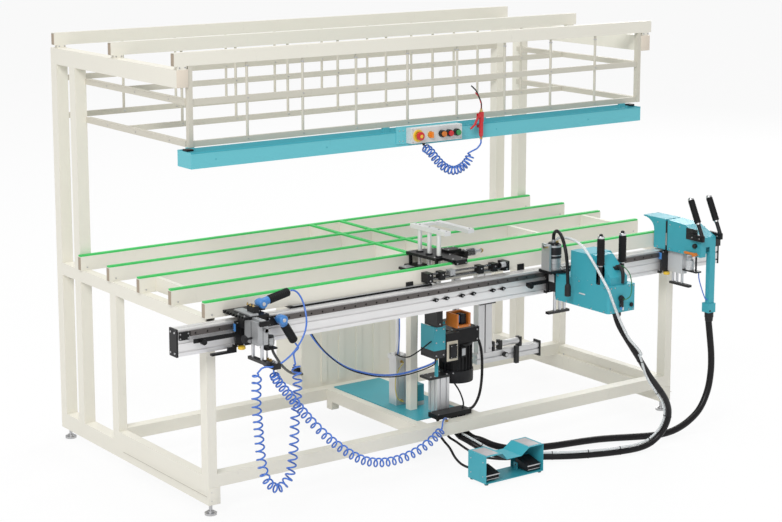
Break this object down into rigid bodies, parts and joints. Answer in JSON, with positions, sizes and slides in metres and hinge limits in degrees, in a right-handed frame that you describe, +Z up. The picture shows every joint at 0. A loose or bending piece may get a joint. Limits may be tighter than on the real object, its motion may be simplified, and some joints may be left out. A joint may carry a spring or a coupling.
{
  "type": "sash assembly clamp",
  "caption": "Bench and rack for assembling window sashes, with a front beam carrying sliding clamp heads, a routing unit under the table, curly air hoses and a foot switch.",
  "frame": {"origin": "on the floor, under the middle of the machine's box without its free hoses and foot switch", "axes": "+X along the beam, to the operator's right; +Y from the operator to the back; +Z up"},
  "size_m": [3.286, 2.0855, 2.067],
  "materials": {
    "cream": "satin powder coat",
    "teal": "satin powder coat",
    "green": "slide strip",
    "alu": "anodised",
    "steel": "ground",
    "chrome": "ground rod",
    "black": "black finish",
    "plastic": "moulded",
    "grey": "light grey",
    "red": "moulded",
    "yellow": "moulded",
    "amber": "moulded",
    "greencap": "moulded",
    "blue": "moulded tube",
    "rubber": "hose",
    "clear": "clear tube"
  },
  "bodies": {
    "machine": {"main_frame": "cream", "levelling_feet": "steel", "bench_frame": "cream", "table_rails": "cream", "slide_strips": "green", "overhead_frame": "cream", "rack": "cream", "tray": "teal", "control_box": "grey", "blow_gun": "red", "gun_hose": "blue", "beam": "alu", "fittings": "black", "guide_rail": "steel", "rear_cabinet": "cream", "base_tray": "teal", "router_column": "alu", "router_bracket": "teal", "clamp_cylinder": "alu", "side_profile": "alu", "centre_deck": "black", "stop_frame": "black", "supply_hose": "blue", "right_hose": "rubber", "far_hose": "rubber", "foot_switch": "teal", "switch_cables": "rubber", "bundle_hose": "blue"},
    "left_head": {"left_carriage": "black", "left_cylinder": "alu", "drivers": "plastic", "left_filter": "plastic", "left_hose": "blue", "driver_hose": "blue"},
    "left_clamp_foot": {"left_foot": "chrome"},
    "left_clamp_knob": {"left_knob": "plastic"},
    "right_head": {"right_carriage": "black", "right_housing": "teal", "right_hood": "teal", "right_grips": "plastic", "right_driver": "steel", "elbow_hose": "rubber", "air_hose": "clear"},
    "right_clamp_foot": {"right_foot": "chrome"},
    "far_head": {"far_carriage": "black", "far_housing": "teal", "far_grips": "plastic"},
    "far_clamp_foot": {"far_foot": "chrome"},
    "middle_clamp": {"centre_clamp": "alu"},
    "motor": {"router_motor": "black"},
    "spindle": {"router_spindle": "steel"},
    "stop_button": {"emergency_stop": "red"},
    "selector": {"selector_knob": "yellow"},
    "amber_cap": {"amber_button": "amber"},
    "red_cap": {"red_button": "red"},
    "green_cap": {"green_button": "greencap"},
    "trigger": {"gun_trigger": "red"},
    "pedal_left": {"left_pedal": "plastic"},
    "pedal_right": {"right_pedal": "plastic"},
    "sliding_stop": {"stop_slider": "black"}
  },
  "joints": [
    {"name": "left_head_slide", "type": "slide", "parent": "machine", "child": "left_head", "axis": [1, 0, 0], "range_m": [-0.05, 0.55], "deforming": ["supply_hose"]},
    {"name": "right_head_slide", "type": "slide", "parent": "machine", "child": "right_head", "axis": [1, 0, 0], "range_m": [-0.35, 0.25], "deforming": ["right_hose"]},
    {"name": "far_head_slide", "type": "slide", "parent": "machine", "child": "far_head", "axis": [1, 0, 0], "range_m": [-0.15, 0.1], "deforming": ["far_hose"]},
    {"name": "left_foot_slide", "type": "slide", "parent": "left_head", "child": "left_clamp_foot", "axis": [0, 0, 1], "range_m": [-0.04, 0.025]},
    {"name": "right_foot_slide", "type": "slide", "parent": "right_head", "child": "right_clamp_foot", "axis": [0, 0, 1], "range_m": [-0.03, 0.025]},
    {"name": "far_foot_slide", "type": "slide", "parent": "far_head", "child": "far_clamp_foot", "axis": [0, 0, 1], "range_m": [-0.04, 0.025]},
    {"name": "left_knob_turn", "type": "hinge", "parent": "left_head", "child": "left_clamp_knob", "pos_m": [-1.392, -0.6785, 0.858], "axis": [1, 0, 0], "continuous": true},
    {"name": "middle_clamp_slide", "type": "slide", "parent": "machine", "child": "middle_clamp", "axis": [0, 0, 1], "range_m": [-0.09, 0.035]},
    {"name": "motor_lift", "type": "slide", "parent": "machine", "child": "motor", "axis": [0, 0, 1], "range_m": [-0.05, 0.03], "deforming": ["bundle_hose"]},
    {"name": "spindle_spin", "type": "hinge", "parent": "motor", "child": "spindle", "pos_m": [0.12, -0.2315, 0.56], "axis": [0, 0, 1], "continuous": true},
    {"name": "stop_button_push", "type": "slide", "parent": "machine", "child": "stop_button", "axis": [0, 1, 0], "range_m": [0, 0.006], "stiffness_N_per_m": 800},
    {"name": "selector_turn", "type": "hinge", "parent": "machine", "child": "selector", "pos_m": [-0.172, -0.4005, 1.6165], "axis": [0, 1, 0], "range_deg": [-45, 45]},
    {"name": "amber_cap_push", "type": "slide", "parent": "machine", "child": "amber_cap", "axis": [0, 1, 0], "range_m": [0, 0.004], "stiffness_N_per_m": 500},
    {"name": "red_cap_push", "type": "slide", "parent": "machine", "child": "red_cap", "axis": [0, 1, 0], "range_m": [0, 0.004], "stiffness_N_per_m": 500},
    {"name": "green_cap_push", "type": "slide", "parent": "machine", "child": "green_cap", "axis": [0, 1, 0], "range_m": [0, 0.004], "stiffness_N_per_m": 500},
    {"name": "trigger_pull", "type": "hinge", "parent": "machine", "child": "trigger", "pos_m": [0.14, -0.3785, 1.679], "axis": [0, 1, 0], "range_deg": [-12, 0], "stiffness_Nm_per_rad": 0.3},
    {"name": "left_pedal_press", "type": "hinge", "parent": "machine", "child": "pedal_left", "pos_m": [-0.128, -0.7595, 0.032], "axis": [1, 0, 0], "range_deg": [0, 5], "stiffness_Nm_per_rad": 30, "springref_deg": -6.88},
    {"name": "right_pedal_press", "type": "hinge", "parent": "machine", "child": "pedal_right", "pos_m": [0.124, -0.7595, 0.032], "axis": [1, 0, 0], "range_deg": [0, 5], "stiffness_Nm_per_rad": 30, "springref_deg": -6.88},
    {"name": "sliding_stop_shift", "type": "slide", "parent": "machine", "child": "sliding_stop", "axis": [1, 0, 0], "range_m": [-0.028, 0.14]}
  ]
}
